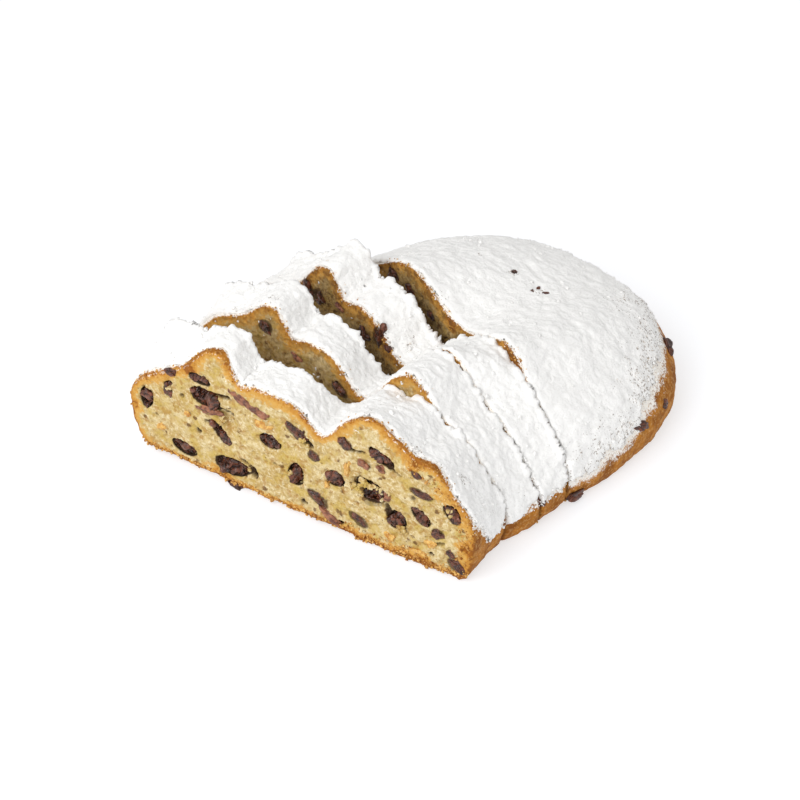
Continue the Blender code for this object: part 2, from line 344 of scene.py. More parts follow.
def away_from(across, up, spot):
    """How far each point lies from an ellipse's middle, one being its outline."""
    middle, height, half_length, half_width, tilt = spot
    turn = math.radians(tilt)
    along = (across - middle) * math.cos(turn) + (up - height) * math.sin(turn)
    beside = (up - height) * math.cos(turn) - (across - middle) * math.sin(turn)
    return np.hypot(along / half_length, beside / half_width)


def measure(piece, node):
    """Where each vertex of a piece of bread lies against the crust and the cuts."""
    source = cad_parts[node].data
    places = read(piece, "co")
    to_crust, outward = nearest(tree_of(source, lambda face: is_crust(face, node)), places)
    to_front, ahead = nearest(tree_of(source, is_front_cut), places)
    to_back, behind = np.full(len(places), 1.0), np.zeros((len(places), 3))
    if node != "heel":
        to_back, behind = nearest(tree_of(source, is_back_cut), places)
    across, up = cuts[node].spread(places)
    return {
        "places": places, "to_crust": to_crust, "outward": outward, "to_front": to_front,
        "ahead": ahead, "to_back": to_back, "behind": behind, "across": across, "up": up,
    }


def round_corner(at, to_cut, facing, radius):
    """How far each vertex moves to round the corner between the crust and a cut."""
    beside_cut = to_cut - radius
    beside_crust = at["to_crust"] - radius
    far = np.maximum(np.hypot(beside_cut, beside_crust), 1e-9)
    outside_arc = (beside_cut < 0.0) & (beside_crust < 0.0) & (far > radius)
    pull = np.where(outside_arc, 1.0 - radius / far, 0.0)
    return (beside_cut * pull)[:, None] * facing + (beside_crust * pull)[:, None] * at["outward"]


def sugar_reach(at, node, seed):
    """How far inside the sugar's edge each vertex lies, and how dusted it is outside it."""
    places = at["places"]
    wander = lumps(places, EDGE_WAVE, seed)
    ragged = lumps(places, EDGE_TOOTH, seed + 1)
    low_edge = SUGAR_LOW_EDGE + (2.5 * wander + 1.5 * ragged) * MM
    if node == "slice_1":
        low_edge += FRONT_CORNER_LIFT * (1.0 - ease(at["to_front"], 0.0, FRONT_CORNER_RUN))
        margin = np.interp(at["across"], BARE_ACROSS, BARE_WIDTH)
    else:
        start, end = OPEN_GAPS[node]
        margin = INNER_MARGIN[node] * ease(at["across"], start, start + 5)
        margin *= 1.0 - ease(at["across"], end, end + 5)
        for patch_node, across, half_width, width in BARE_PATCHES:
            if patch_node == node:
                away = np.abs(at["across"] - across) / half_width
                margin = np.maximum(margin, width * (1.0 - ease(away, 0.6, 1.1)))
    if node == "heel":
        low_edge += HEEL_REAR_LIFT * ease(places[:, 1], 22 * MM, 72 * MM)
    frayed = 0.1 if node == "slice_1" else 0.1 + 1.6 * np.minimum(margin, 0.25)
    margin = margin * (1.0 + 0.4 * wander) + (frayed + 0.3 * np.minimum(margin, 1.5)) * ragged
    at["margin"] = margin
    above = places[:, 2] - low_edge
    behind_rim = at["to_front"] - margin * MM
    over_edge = (0.8 + 1.3 * ragged) * MM - at["to_crust"]
    on_back = (at["to_back"] < 0.3 * MM) & (at["to_crust"] > 0.3 * MM)
    reach = np.where(on_back, np.minimum(over_edge, above), np.minimum(behind_rim, above))
    dusted = ease(above, -DUSTED_BELOW[node], 0.5 * MM)
    dusted *= ease(behind_rim, -2.2 * MM, 0.4 * MM)
    on_rim = 1.0 - ease(at["to_crust"], 0.3 * MM, (1.9 + 1.6 * wander) * MM)
    spilt = (0.60 if node == "slice_1" else 0.95 - 0.35 * ease(margin, 0.0, 0.3)) * on_rim
    at["spilt"] = (spilt + 0.25 * ragged * on_rim) * ease(above, -2 * MM, 4 * MM)
    at["above"] = above
    return reach, dusted


def shade_gold_and_hollows(at, node):
    """Painted shade in a cut's hollows and round its fruit, how golden fat and sugar have stained it, and
    its hollows.
    """
    syrup = np.zeros(len(at["places"]))
    golden = np.zeros(len(at["places"]))
    depth = np.zeros(len(at["places"]))
    if node == "slice_1":
        for *spot, deep, dark in HOLLOWS:
            away = away_from(at["across"], at["up"], spot) / 1.25
            depth = np.maximum(depth, deep * (1.0 - ease(away, 0.55, 1.15)))
            syrup = np.maximum(syrup, dark * (1.0 - ease(away, 0.7, 1.2)))
    for bread_node, kind, *spot in CUT_FRUIT:
        if bread_node == node:
            away = away_from(at["across"], at["up"], spot)
            # How dark the painted shade round each kind of fruit is.
            rim_shade = {"raisin": 0.75, "skin": 0.45, "peel": 0.0}[kind]
            syrup = np.maximum(syrup, rim_shade * (1.0 - ease(away, 1.0, 1.3)))
            if kind == "peel":
                golden = np.maximum(golden, 0.7 * (1.0 - ease(away, 1.0, 1.7)))
    for bread_node, across, up, radius in GOLDEN_SPOTS:
        if bread_node == node:
            away = away_from(at["across"], at["up"], (across, up, radius, radius, 0.0))
            golden = np.maximum(golden, 0.95 * (1.0 - ease(away, 0.3, 1.1)))
    toasting = ease(at["across"], 0.0, 45.0)
    near_base = 1.0 - ease(at["up"], 1.5, 5.5 + 2.5 * toasting)
    golden = np.maximum(golden, (0.6 + 0.3 * toasting) * near_base)
    front_only = 1.0 - ease(at["to_front"], 0.4 * MM, 1.0 * MM)
    return syrup * front_only, golden * front_only, depth * front_only


def bake_bread(node, seed):
    """The visible bread of a CAD node, with what the sugar's coat needs to know of it."""
    piece = copy_of(node, "bread_" + node)
    work(piece, "REMESH", mode="VOXEL", voxel_size=BREAD_GRID[node], use_smooth_shade=True)
    at = measure(piece, node)
    radius = CORNER_RADIUS * (1.0 + 0.4 * lumps(at["places"], 4 * MM, seed + 8))
    reach, dusted = sugar_reach(at, node, seed)
    move = round_corner(at, at["to_front"], at["ahead"], radius)
    move += round_corner(at, at["to_back"], at["behind"], 0.6 * radius)
    at["places"] = at["places"] + move
    move_to(piece, at["places"])
    at["normals"] = read(piece, "normal")
    at["reach"] = reach
    at["mesh"] = piece.data.copy()

    places = at["places"].copy()
    to_cut = np.minimum(at["to_front"], at["to_back"])
    in_hole = ease(to_cut, 0.3 * MM, 0.7 * MM) * ease(at["to_crust"], 0.5 * MM, 1.0 * MM)
    on_cut = 1.0 - ease(to_cut, 0.3 * MM, 0.9 * MM)
    outside = 1.0 - on_cut
    syrup, golden, hollow = shade_gold_and_hollows(at, node)
    sunk = COAT_DEPTH * ease(reach, 0.0, 2.5 * MM)
    places -= at["outward"] * sunk[:, None]
    uneven = relief(places, CRUST_RELIEF, seed)
    uneven *= 1.0 + BASE_BULGE * (1.0 - ease(places[:, 2], 8 * MM, 16 * MM))
    torn = relief(places, TORN_RELIEF, seed)
    pitted = PORE_DEPTH * pores(places, PORE_SPACING, seed + 6)
    rise = (outside * uneven + on_cut * (torn - pitted) - hollow) * MM
    places += at["normals"] * rise[:, None]
    lifted = np.maximum(lumps(at["places"] * (1, 1, 0), BASE_WAVE, seed + 7), 0.0)
    places[:, 2] += BASE_WAVE_LIFT * lifted * (1.0 - ease(at["places"][:, 2], 0.0, 5 * MM))
    places[:, 2] = np.maximum(places[:, 2], 0.0)
    if node == "slice_1":
        step = (1.0 - ease(at["across"], 24.0, 27.0)) * (1.0 - ease(at["to_front"], 0.0, 20 * MM))
        places[:, 2] += BASE_STEP * step * (1.0 - ease(at["places"][:, 2], 0.0, 6 * MM))
    move_to(piece, places)
    at["surface"] = places

    paint(piece, "from_crust", at["to_crust"] / MM + 9.0 * in_hole)
    paint(piece, "outside", ease(to_cut, 0.3 * MM, 1.2 * MM) * (1.0 - in_hole))
    off_cut = ease(to_cut, 0.0, 0.7 * MM)
    paint(piece, "dusted", (1.0 - in_hole) * (dusted * off_cut + at["spilt"] * (1.0 - off_cut)))
    paint(piece, "inner", np.full(len(places), DEPTH_IN_LOAF[node]))
    # Painted shade on the walls of the raisins' pockets, in the hollows and round the fruit.
    paint(piece, "syrup", np.maximum(syrup, in_hole))
    paint(piece, "golden", golden)
    take_up(piece)
    bpy.ops.object.shade_smooth()
    return piece, at


def linear(code):
    """A linear colour from the sRGB one that a hex code names."""
    parts = [int(code[i:i + 2], 16) / 255 for i in (1, 3, 5)]
    return (*[c / 12.92 if c <= 0.04045 else ((c + 0.055) / 1.055) ** 2.4 for c in parts], 1.0)


def add(material, kind, settings=None, **inputs):
    """Add a node with its settings; an input is a value or another node's socket."""
    node = material.node_tree.nodes.new(kind)
    for name, value in (settings or {}).items():
        setattr(node, name, value)
    for name, value in inputs.items():
        key = int(name[1:]) if name[0] == "i" and name[1:].isdigit() else name.replace("_", " ")
        if isinstance(value, bpy.types.NodeSocket):
            material.node_tree.links.new(value, node.inputs[key])
        else:
            node.inputs[key].default_value = value
    return node


def new_material(name, **uniform):
    """A material with its shader's uniform values set, and its Object coordinates."""
    material = bpy.data.materials.new(name)
    material.use_nodes = True
    shader = material.node_tree.nodes["Principled BSDF"]
    for socket, value in uniform.items():
        shader.inputs[socket.replace("_", " ")].default_value = value
    coordinates = add(material, "ShaderNodeTexCoord").outputs["Object"]
    return material, shader, coordinates


MIX = {"data_type": "RGBA"}
TIMES = {"operation": "MULTIPLY"}
TIMES_PLUS = {"operation": "MULTIPLY_ADD"}


def lay(material, under, code, pattern, low, high, most=1.0, within=1.0):
    """Lay a colour over another, up to a share, as a pattern runs from low to high."""
    share = add(material, "ShaderNodeMapRange", Value=pattern, From_Min=low, From_Max=high,
                To_Max=most).outputs[0]
    share = add(material, "ShaderNodeMath", TIMES, i0=share, i1=within).outputs[0]
    return add(material, "ShaderNodeMix", MIX, i0=share, i6=under, i7=linear(code)).outputs[2]


# Baked wheat dough.  The crumb is pale yellow from butter and egg, matt, mottled with
# paler flecks and open cells; it browns to gold in the last few millimetres under the
# crust, and the crust itself is a warm, matt brown, darkest along its base.
bread, shader, coordinates = new_material("baked_sweet_dough", Roughness=0.85, Specular_IOR_Level=0.25)

from_crust = add(bread, "ShaderNodeAttribute", {"attribute_name": "from_crust"}).outputs["Fac"]
outside = add(bread, "ShaderNodeAttribute", {"attribute_name": "outside"}).outputs["Fac"]
height = add(bread, "ShaderNodeSeparateXYZ", Vector=coordinates).outputs["Z"]
cloud = add(bread, "ShaderNodeTexNoise", Vector=coordinates, Scale=1 / (7 * MM), Detail=3.0).outputs["Fac"]
grain = add(bread, "ShaderNodeTexNoise", Vector=coordinates, Scale=1 / (1.3 * MM), Detail=3.0,
            Roughness=0.65).outputs["Fac"]
fleck = add(bread, "ShaderNodeTexNoise", Vector=coordinates, Scale=1 / (2.4 * MM), Detail=4.0,
            Roughness=0.7).outputs["Fac"]
warp = add(bread, "ShaderNodeTexNoise", Vector=coordinates, Scale=1 / (1.2 * MM)).outputs["Color"]
warped = add(bread, "ShaderNodeVectorMath", {"operation": "MULTIPLY_ADD"}, i0=warp,
             i1=(1.6 * MM, 1.6 * MM, 1.6 * MM), i2=coordinates).outputs[0]
cells = add(bread, "ShaderNodeTexVoronoi", Vector=warped, Scale=1 / (2.3 * MM))

# The crumb: cream to butter yellow in clouds, with paler flecks and open cells darkened with painted
# shade.
cloudy = add(bread, "ShaderNodeMapRange", Value=cloud, From_Min=0.38, From_Max=0.62).outputs[0]
crumb = add(bread, "ShaderNodeMix", MIX, i0=cloudy, i6=linear("#C3A669"), i7=linear("#D6C18E")).outputs[2]
blotch = add(bread, "ShaderNodeTexNoise", Vector=coordinates, Scale=1 / (5.0 * MM),
             Detail=3.0).outputs["Fac"]
crumb = lay(bread, crumb, "#C5A853", blotch, 0.50, 0.64, most=0.8)
crumb = lay(bread, crumb, "#A98C4C", fleck, 0.46, 0.34, most=0.55)
spread = add(bread, "ShaderNodeMapRange", Value=blotch, From_Min=0.60, From_Max=0.42,
             To_Min=0.25).outputs[0]
crumb = lay(bread, crumb, "#EEE2BE", grain, 0.50, 0.64, most=0.75, within=spread)
# Painted shade in the hollows of the grain that the bump also raises.
crumb = lay(bread, crumb, "#9C7B40", grain, 0.45, 0.33, most=0.55)
# Painted shade in the open cells.
chance = add(bread, "ShaderNodeSeparateColor", Color=cells.outputs["Color"]).outputs[0]
shaded_cell = add(bread, "ShaderNodeMath", {"operation": "LESS_THAN"}, i0=chance, i1=0.36).outputs[0]
crumb = lay(bread, crumb, "#7C5A2C", cells.outputs["Distance"], 0.22, 0.12, most=0.8, within=shaded_cell)

# Bits of spice and fruit, and tan smears; on the cuts facing into the gaps between the slices, painted
# shade darkens the crumb overall and in patches, with painted light on the grain's peaks.
inner = add(bread, "ShaderNodeAttribute", {"attribute_name": "inner"}).outputs["Fac"]
bits = add(bread, "ShaderNodeTexVoronoi", Vector=warped, Scale=1 / (4.0 * MM))
chance = add(bread, "ShaderNodeSeparateColor", Color=bits.outputs["Color"]).outputs[1]
likely = add(bread, "ShaderNodeMath", {"operation": "LESS_THAN"}, i0=chance, i1=0.38).outputs[0]
crumb = lay(bread, crumb, "#5E3A1A", bits.outputs["Distance"], 0.30, 0.18, most=0.85, within=likely)
tan = add(bread, "ShaderNodeTexNoise", Vector=warped, Scale=1 / (2.8 * MM), Detail=3.0).outputs["Fac"]
crumb = lay(bread, crumb, "#A87A38", tan, 0.57, 0.64, most=0.6)
# Painted shade of the gaps between the slices, darker the further back the cut lies.
crumb = lay(bread, crumb, "#7A6038", inner, 0.0, 2.0)
patch_noise = add(bread, "ShaderNodeTexNoise", Vector=coordinates, Scale=1 / (3.0 * MM), Detail=4.0,
            Roughness=0.7).outputs["Fac"]
crumb = lay(bread, crumb, "#4A3016", patch_noise, 0.50, 0.62, most=0.60, within=inner)
# Painted light on the grain's peaks on the cuts in the gaps.
crumb = lay(bread, crumb, "#C3A267", grain, 0.50, 0.64, most=0.55, within=inner)

# The toasted zone under the crust: gold, then toast brown, then the crust's own edge.
wide = add(bread, "ShaderNodeTexNoise", Vector=coordinates, Scale=1 / (15 * MM), Detail=1.0).outputs["Fac"]
width = add(bread, "ShaderNodeMapRange", Value=wide, From_Min=0.35, From_Max=0.65,
            To_Min=3.2, To_Max=6.4).outputs[0]
width = add(bread, "ShaderNodeMath", TIMES_PLUS, i0=inner, i1=1.8, i2=width).outputs[0]
share = add(bread, "ShaderNodeMath", {"operation": "DIVIDE"}, i0=from_crust, i1=width).outputs[0]
rough_share = add(bread, "ShaderNodeMath", TIMES_PLUS, i0=fleck, i1=1.2, i2=share).outputs[0]
rough_share = add(bread, "ShaderNodeMath", TIMES_PLUS, i0=grain, i1=1.1, i2=rough_share).outputs[0]
patches = add(bread, "ShaderNodeMapRange", Value=patch_noise, From_Min=0.40, From_Max=0.62, To_Min=0.35,
              To_Max=1.15).outputs[0]
golden = add(bread, "ShaderNodeAttribute", {"attribute_name": "golden"}).outputs["Fac"]
golden = add(bread, "ShaderNodeMath", TIMES, i0=golden, i1=patches).outputs[0]
rough_share = add(bread, "ShaderNodeMath", TIMES_PLUS, i0=golden, i1=-0.85, i2=rough_share).outputs[0]
BROWNINGS = (
    ("gold", 2.15, 1.70, "#D0A050"), ("toast", 1.72, 1.30, "#C08635"), ("edge", 1.28, 1.05, "#965A1B"),
)
zones = {}
for name, start, end, code in BROWNINGS:
    zones[name] = add(bread, "ShaderNodeMapRange", {"interpolation_type": "SMOOTHSTEP"},
                      Value=rough_share, From_Min=start, From_Max=end).outputs[0]
    crumb = add(bread, "ShaderNodeMix", MIX, i0=zones[name], i6=crumb, i7=linear(code)).outputs[2]
# Painted shade of the gaps: the gold under the crust of the inner cuts darkened in patches.
gold_in_shade = add(bread, "ShaderNodeMath", TIMES, i0=zones["gold"], i1=inner).outputs[0]
patchy = add(bread, "ShaderNodeMapRange", Value=patch_noise, From_Min=0.44, From_Max=0.58, To_Min=0.15,
             To_Max=0.62).outputs[0]
gold_in_shade = add(bread, "ShaderNodeMath", TIMES, i0=gold_in_shade, i1=patchy).outputs[0]
crumb = add(bread, "ShaderNodeMix", MIX, i0=gold_in_shade, i6=crumb, i7=linear("#6B4822")).outputs[2]

# The base is scorched in spots, and painted shade darkens the crumb in the hollows and round the fruit.
near_base = add(bread, "ShaderNodeMapRange", Value=height, From_Min=5.0 * MM, From_Max=2.0 * MM).outputs[0]
crumb = lay(bread, crumb, "#7D4418", fleck, 0.50, 0.40, most=0.85, within=near_base)
syrup = add(bread, "ShaderNodeAttribute", {"attribute_name": "syrup"}).outputs["Fac"]
crumb = lay(bread, crumb, "#2B160B", syrup, 0.15, 0.85, most=0.95)

# The crust: warm brown in clouds, spotted darker and flaky, and browner along its base.
brown = add(bread, "ShaderNodeMix", MIX, i0=cloudy, i6=linear("#8A4F0C"), i7=linear("#B67626")).outputs[2]
brown = lay(bread, brown, "#7E5018", fleck, 0.45, 0.30, most=0.7)
brown = lay(bread, brown, "#D2A468", grain, 0.50, 0.66, most=0.6)
brown = lay(bread, brown, "#7A4A1C", height, 4 * MM, 0.0, most=0.5)
surface = add(bread, "ShaderNodeMix", MIX, i0=outside, i6=crumb, i7=brown).outputs[2]

# A dusting of sugar where the coat runs out.
powder = add(bread, "ShaderNodeTexNoise", Vector=coordinates, Scale=1 / (0.8 * MM), Detail=3.0,
             Roughness=0.65).outputs["Fac"]
dusted = add(bread, "ShaderNodeAttribute", {"attribute_name": "dusted"}).outputs["Fac"]
thick = add(bread, "ShaderNodeMath", TIMES_PLUS, i0=dusted, i1=0.60, i2=powder).outputs[0]
surface = lay(bread, surface, "#F5F0E8", thick, 0.84, 1.04)
bump = add(bread, "ShaderNodeBump", Height=grain, Strength=0.7, Distance=0.7 * MM)
bread.node_tree.links.new(surface, shader.inputs["Base Color"])
bread.node_tree.links.new(bump.outputs["Normal"], shader.inputs["Normal"])

baked = {}
for seed, node in enumerate(BREAD_GRID, start=3):
    piece, at = bake_bread(node, 10 * seed)
    piece.data.materials.append(bread)
    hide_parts(node)
    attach(piece, "root")
    baked[node] = at


# ---- The icing sugar -----------------------------------------------------------------
# Icing sugar sieved thickly over the buttered loaf before it was sliced.  It lies like
# fresh snow a millimetre or more deep, breaks into crumbs along the knife's edge, and
# thins out to a speckled dusting where the sides turn steep.

COAT_THICKNESS = 1.6 * MM
COAT_EDGE = -0.30                # the coat starts this deep at its edge, in millimetres
COAT_RISE = 1.0                  # and rises by this over its first 1.4 mm
HEAPED_RELIEF = ((0.50, 10.0, 0), (0.40, 3.2, 1), (0.30, 1.5, 2))
BROKEN_RELIEF = ((0.9, 2.4, 4), (1.2, 6.0, 5), (0.5, 1.2, 6))
BROKEN_RISE = 0.7                # the sugar stands this much prouder along the back edges, mm
BROKEN_FLOOR = -0.1              # and nowhere breaks away deeper than this

sugar, shader, coordinates = new_material("icing_sugar", Roughness=0.95, Specular_IOR_Level=0.15)
thin = add(sugar, "ShaderNodeAttribute", {"attribute_name": "thin"}).outputs["Fac"]
fine = add(sugar, "ShaderNodeTexNoise", Vector=coordinates, Scale=1 / (1.1 * MM), Detail=4.0,
           Roughness=0.75).outputs["Fac"]
soft = add(sugar, "ShaderNodeTexNoise", Vector=coordinates, Scale=1 / (5 * MM), Detail=3.0).outputs["Fac"]
tint = add(sugar, "ShaderNodeMapRange", Value=soft, From_Min=0.35, From_Max=0.65).outputs[0]
white = add(sugar, "ShaderNodeMix", MIX, i0=tint, i6=linear("#FAF9F7"), i7=linear("#FFFEFC")).outputs[2]
# Painted shade in the hollows of the grain that the bump also raises.
white = lay(sugar, white, "#EEECE9", fine, 0.46, 0.30, most=0.6)
dots = add(sugar, "ShaderNodeTexNoise", Vector=coordinates, Scale=1 / (0.9 * MM), Detail=2.0,
           Roughness=0.6).outputs["Fac"]
dotted = add(sugar, "ShaderNodeMath", TIMES_PLUS, i0=thin, i1=0.21, i2=dots).outputs[0]
white = lay(sugar, white, "#85776A", dotted, 0.75, 0.84, most=0.75)
bare = add(sugar, "ShaderNodeMath", TIMES_PLUS, i0=thin, i1=0.26, i2=fine).outputs[0]
white = lay(sugar, white, "#BBA07A", bare, 0.80, 0.96, most=0.7)
bump = add(sugar, "ShaderNodeBump", Height=fine, Strength=1.0, Distance=0.6 * MM)
sugar.node_tree.links.new(white, shader.inputs["Base Color"])
sugar.node_tree.links.new(bump.outputs["Normal"], shader.inputs["Normal"])

# Places where the coat is thin and specks of crust show: x, y, radius, in millimetres.
THIN_SPOTS = (
    (-31.0, -47.5, 6.0), (-8.0, -14.0, 6.0), (-3.0, -6.0, 6.0), (58.0, -50.0, 7.0),
    (68.0, -47.0, 6.0),
    (38.0, -55.0, 4.0), (66.0, -45.0, 4.0), (-8.6, 49.0, 5.0), (6.0, 49.5, 6.0), (-24.0, 45.0, 3.5),
    (34.0, 57.0, 3.5), (-8.0, 14.0, 3.5), (70.0, -36.0, 6.0),
)


def coat(node, at, seed):
    """The sugar on one piece of bread: its covered skin, raised and given a thickness."""
    piece = bpy.data.objects.new("sugar_" + node, at["mesh"])
    bpy.context.scene.collection.objects.link(piece)
    places = at["places"]
    reach = at["reach"]
    rise = COAT_EDGE + COAT_RISE * ease(reach, 0.0, 1.4 * MM)
    rise += relief(places, HEAPED_RELIEF, seed) * ease(reach, 0.0, 1.0 * MM)
    broken = np.maximum(BROKEN_RISE + relief(places, BROKEN_RELIEF, seed), BROKEN_FLOOR)
    on_back_edge = 1.0 - ease(at["to_back"], 0.4 * MM, 2.2 * MM)
    rise += broken * on_back_edge * ease(reach, 0.0, 0.8 * MM)
    places = places + at["normals"] * (rise * MM)[:, None]
    move_to(piece, places)
    thin = (1.0 if node == "heel" else 0.35) * (1.0 - ease(at["above"], 0.0, 24 * MM))
    thin *= ease(places[:, 0], 0.0, 20 * MM)
    for x, y, radius in THIN_SPOTS:
        away = np.hypot(places[:, 0] - x * MM, places[:, 1] - y * MM) / (radius * MM)
        thin = np.maximum(thin, 0.95 * (1.0 - ease(away, 0.2, 1.0)))
    thin += 0.5 * (1.0 - ease(reach, 0.3 * MM, 1.8 * MM))
    paint(piece, "thin", np.clip(thin * (1.0 + 0.5 * lumps(places, 5 * MM, seed + 3)), 0.0, 1.0))
    for vertex, inside in zip(piece.data.vertices, reach > 0.0):
        vertex.select = not inside
    take_up(piece)
    bpy.ops.object.mode_set(mode="EDIT")
    bpy.ops.mesh.select_mode(type="VERT")
    bpy.ops.mesh.delete(type="VERT")
    bpy.ops.mesh.select_all(action="SELECT")
    bpy.ops.mesh.delete_loose()
    bpy.ops.object.mode_set(mode="OBJECT")
    work(piece, "SOLIDIFY", thickness=COAT_THICKNESS, offset=-1.0)
    bpy.ops.object.shade_smooth()
    piece.data.materials.clear()
    piece.data.materials.append(sugar)
    return piece


for seed, (node, at) in enumerate(baked.items()):
    piece = coat(node, at, 200 + 10 * seed)
    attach(piece, "root")


# ---- Loose sugar and toasted crumbs ----------------------------------------------------
# Grains of sugar caked together and bits of crust that the saw tore off.  They lie along
# the edges of the coat, on the rims of the cuts and thickest on the toasted base.

GRAIN_SHAPES = 14
GRAIN_DETAIL = 2
SMALL_BIAS = 2.5                 # the higher this is, the more of the grains are small
TOP_FROM = 18 * MM               # grains and rim crumbs lie above this height


def sphere(detail):
    """The vertices and faces of a unit ball of triangles."""
    deselect()
    bpy.ops.mesh.primitive_ico_sphere_add(subdivisions=detail, radius=1.0)
    ball = bpy.context.active_object
    points = read(ball, "co")
    faces = np.array([tuple(face.vertices) for face in ball.data.polygons])
    mesh = ball.data
    bpy.data.objects.remove(ball)
    bpy.data.meshes.remove(mesh)
    return points, faces


class Heap:
    """Shapes gathered into one piece, with numbers kept for each vertex."""

    def __init__(self):
        self.points, self.faces, self.kept, self.count = [], [], {}, 0

    def put(self, points, faces, **kept_numbers):
        """Add a shape; nothing reaches below the table."""
        self.points.append(np.maximum(points, (-math.inf, -math.inf, 0.0)))
        self.faces.append(faces + self.count)
        self.count += len(points)
        for name, values in kept_numbers.items():
            self.kept.setdefault(name, []).append(np.broadcast_to(values, len(points)))

    def piece(self, name, material):
        mesh = bpy.data.meshes.new(name)
        mesh.from_pydata(np.concatenate(self.points).tolist(), [], np.concatenate(self.faces).tolist())
        piece = bpy.data.objects.new(name, mesh)
        bpy.context.scene.collection.objects.link(piece)
        for key, values in self.kept.items():
            paint(piece, key, np.concatenate(values))
        take_up(piece)
        bpy.ops.object.shade_smooth()
        mesh.materials.append(material)
        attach(piece, "root")
        return piece


random.seed(11)
ball_points, ball_faces = sphere(GRAIN_DETAIL)
grain_shapes = []
for shape in range(GRAIN_SHAPES):
    stretch = np.array([random.uniform(0.7, 1.3) for _ in range(3)])
    dents = 1.0 + 0.50 * lumps(ball_points, 0.8, 400 + shape)
    grain_shapes.append(ball_points * dents[:, None] * stretch)


def scatter(heap, at, wanted, count, smallest, largest, **kept_numbers):
    """Put grains, sized in millimetres, on the bread where wanted is true."""
    spots = np.flatnonzero(wanted)
    for _ in range(count if len(spots) else 0):
        spot = spots[random.randrange(len(spots))]
        size = (smallest + (largest - smallest) * random.random() ** SMALL_BIAS) * MM
        spin = np.array(Euler([random.uniform(0.0, math.tau) for _ in range(3)]).to_matrix())
        middle = at["surface"][spot] + at["normals"][spot] * (0.35 * size + at["lift"][spot])
        shape = random.choice(grain_shapes) @ spin.T
        heap.put(middle + shape * size, ball_faces, **kept_numbers)


sugar_grains, toasted_crumbs = Heap(), Heap()
for node, at in baked.items():
    reach, to_front, to_crust = at["reach"], at["to_front"], at["to_crust"]
    rise_up = at["places"][:, 2]
    at["lift"] = np.where(reach > 0.8 * MM, COAT_DEPTH + 0.4 * MM, 0.0)
    high = rise_up > TOP_FROM
    back_edge = (np.abs(reach) < 1.0 * MM) & (at["to_back"] < 2.0 * MM) & high
    bare = (at["margin"] > 0.5) & high
    rim = bare & (to_front < 3.0 * MM) & (to_crust < 1.5 * MM) & (reach < 0.5 * MM)
    scatter(sugar_grains, at, back_edge, 200, 0.2, 1.1, thin=0.1)
    scatter(sugar_grains, at, rim & (reach > -1.0 * MM), 70, 0.10, 0.28, thin=0.1)
    scatter(sugar_grains, at, (reach > 1.0 * MM) & high, 140, 0.2, 0.8, thin=0.0)
    low_edge = (np.abs(reach) < 1.6 * MM) & (rise_up < 30 * MM) & (to_crust < 0.5 * MM)
    scatter(sugar_grains, at, low_edge, 200, 0.15, 0.5, thin=0.2)
    scatter(toasted_crumbs, at, rim, 240 if node == "slice_1" else 90, 0.12, 0.45)
    behind_rim = (to_crust < 1.0 * MM) & (at["to_front"] > 0.5 * MM) & (at["to_front"] < 4.0 * MM)
    scatter(toasted_crumbs, at, behind_rim & (at["margin"] > 0.2) & high, 50, 0.10, 0.35)
    base = (to_front < 0.8 * MM) & (rise_up < 4.5 * MM) & (rise_up > 0.8 * MM)
    scatter(toasted_crumbs, at, base, 420 if node == "slice_1" else 60, 0.2, 0.7)
    toasted_zone = (to_front < 0.6 * MM) & (to_crust > 0.8 * MM) & (to_crust < 7.0 * MM)
    toasted_zone &= (at["across"] > 20) & ((rise_up < 9 * MM) | (at["across"] > 48))
    scatter(toasted_crumbs, at, toasted_zone, 260 if node == "slice_1" else 0, 0.2, 0.6)


def mottle(material, shader, coordinates, size, detail, spread, dark, light):
    """Mottle a material from dark to light, in spots of that size in millimetres."""
    spots = add(material, "ShaderNodeTexNoise", Vector=coordinates, Scale=1 / (size * MM),
                Detail=detail).outputs["Fac"]
    share = add(material, "ShaderNodeMapRange", Value=spots, From_Min=0.5 - spread,
                From_Max=0.5 + spread).outputs[0]
    colour = add(material, "ShaderNodeMix", MIX, i0=share, i6=linear(dark), i7=linear(light)).outputs[2]
    material.node_tree.links.new(colour, shader.inputs["Base Color"])


# Baked dough sawn to bits: matt, each bit its own shade between gold and dark brown.
toasted, shader, coordinates = new_material("toasted_crumb", Roughness=0.8, Specular_IOR_Level=0.3)
mottle(toasted, shader, coordinates, 1.6, 2.0, 0.14, "#8F541A", "#E2B467")
sugar_grains.piece("sugar_grains", sugar)
toasted_crumbs.piece("toasted_crumbs", toasted)


# ---- The raisins in the foremost cut ------------------------------------------------
# Dried grapes soaked in rum, 8 to 14 mm long, sawn through with the slice.  The skin is
# nearly black and creased along its length; the cut flesh is brown and a little sticky.

RAISIN_GRID = 0.34 * MM
RAISIN_SHRINK = 0.13             # a raisin's skin has sunk by up to this share of its length

raisin, shader, coordinates = new_material("raisin_skin", Roughness=0.34, Specular_IOR_Level=0.5)
flesh = add(raisin, "ShaderNodeTexNoise", Vector=coordinates, Scale=1 / (2.4 * MM), Detail=4.0,
            Roughness=0.65).outputs["Fac"]
mottled = add(raisin, "ShaderNodeMapRange", Value=flesh, From_Min=0.40, From_Max=0.64).outputs[0]
skin = add(raisin, "ShaderNodeMix", MIX, i0=mottled, i6=linear("#34190E"), i7=linear("#7A4229")).outputs[2]
crease = add(raisin, "ShaderNodeAttribute", {"attribute_name": "crease"}).outputs["Fac"]
